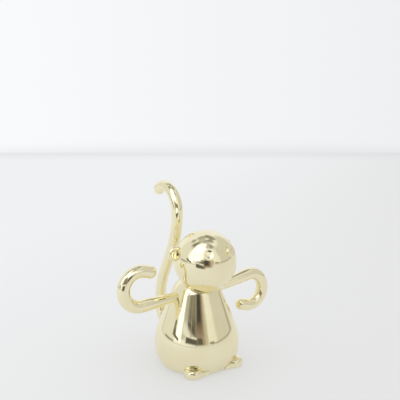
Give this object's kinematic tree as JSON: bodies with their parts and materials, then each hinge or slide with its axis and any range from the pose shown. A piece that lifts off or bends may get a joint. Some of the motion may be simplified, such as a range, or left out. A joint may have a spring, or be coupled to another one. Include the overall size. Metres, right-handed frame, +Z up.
{
  "type": "monkey figurine",
  "caption": "Polished gold monkey figurine with a bell body, ball head, hooked arms and a tall hooked tail to hang finger rings on, standing on a soft base pad.",
  "frame": {"origin": "the middle of the standing face, on the lower face of the base pad and on the body's axis", "axes": "+Z is up, -Y is the way the face looks, +X is the monkey's left, and the tail lies in the plane x = 0 behind the body"},
  "size_m": [0.0833, 0.0581, 0.0834],
  "materials": {
    "polished_gold": "mirror polished, pale gold plate",
    "fastener_steel": "zinc plated",
    "plate_steel": "stamped and brushed",
    "pad_felt": "matte black felt"
  },
  "bodies": {
    "root": {"body_shell": "polished_gold", "head_shell": "polished_gold", "right_eye": "polished_gold", "left_eye": "polished_gold", "right_ear": "polished_gold", "left_ear": "polished_gold", "right_arm": "polished_gold", "left_arm": "polished_gold", "tail": "polished_gold", "tail_nut": "fastener_steel", "right_foot": "polished_gold", "left_foot": "polished_gold", "base_plate": "plate_steel", "base_screws": "fastener_steel", "base_pad": "pad_felt", "head_washer": "fastener_steel", "head_screw": "fastener_steel"}
  },
  "joints": []
}
